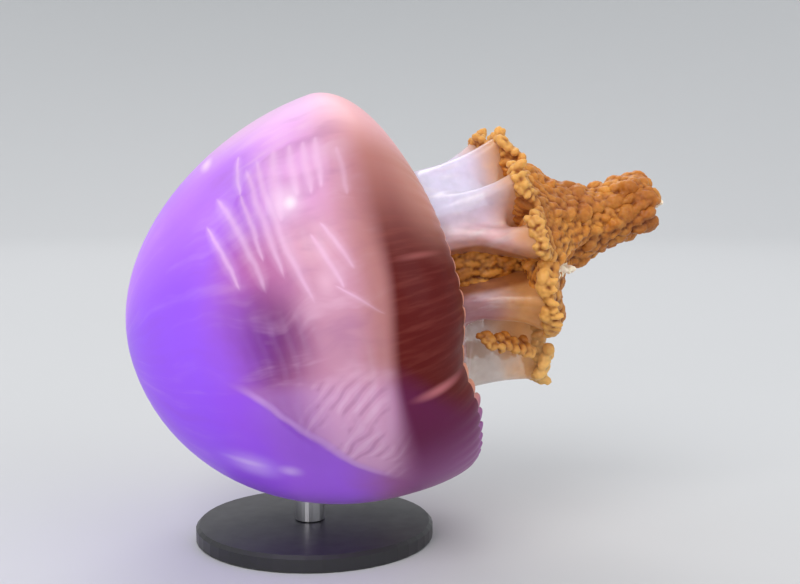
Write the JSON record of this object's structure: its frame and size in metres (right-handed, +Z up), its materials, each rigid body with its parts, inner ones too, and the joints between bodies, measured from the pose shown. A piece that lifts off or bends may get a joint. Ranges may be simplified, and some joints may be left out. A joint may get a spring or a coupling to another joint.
{
  "type": "blubber jellyfish display model",
  "caption": "Life-size swimming blubber jellyfish with a domed violet bell, lappet edge and frilled brown mouth arms, held over a round base by a rod",
  "frame": {"origin": "middle of the underside of the display base, on the floor", "axes": "+Z up; +X level, the way the mouth arms trail; the animal swims toward -X, its arms a little uphill and turned slightly to +Y"},
  "size_m": [0.1614, 0.1223, 0.1338],
  "materials": {
    "bell_jelly": "wet gloss, violet, slightly translucent",
    "margin_jelly": "wet gloss, brown-red",
    "lappet_jelly": "wet gloss, peach",
    "stomach_flesh": "satin, mauve",
    "arm_jelly": "wet gloss, pale pink, translucent",
    "mouth_frill": "crinkled satin, golden brown",
    "stand_black": "satin black paint",
    "stand_steel": "brushed"
  },
  "bodies": {
    "root": {"bell_dome": "bell_jelly", "bell_margin": "margin_jelly", "bell_lappets": "lappet_jelly", "stomach_pillar_1": "stomach_flesh", "stomach_pillar_2": "stomach_flesh", "stomach_pillar_3": "stomach_flesh", "stomach_pillar_4": "stomach_flesh", "arm_disc": "stomach_flesh", "mouth_core": "mouth_frill", "arm_1": "arm_jelly", "arm_2": "arm_jelly", "arm_3": "arm_jelly", "arm_4": "arm_jelly", "arm_5": "arm_jelly", "arm_6": "arm_jelly", "arm_7": "arm_jelly", "arm_8": "arm_jelly", "arm_1_frill": "mouth_frill", "arm_2_frill": "mouth_frill", "arm_3_frill": "mouth_frill", "arm_4_frill": "mouth_frill", "arm_5_frill": "mouth_frill", "arm_6_frill": "mouth_frill", "arm_7_frill": "mouth_frill", "arm_8_frill": "mouth_frill", "stand_base": "stand_black", "stand_rod": "stand_steel"}
  },
  "joints": []
}
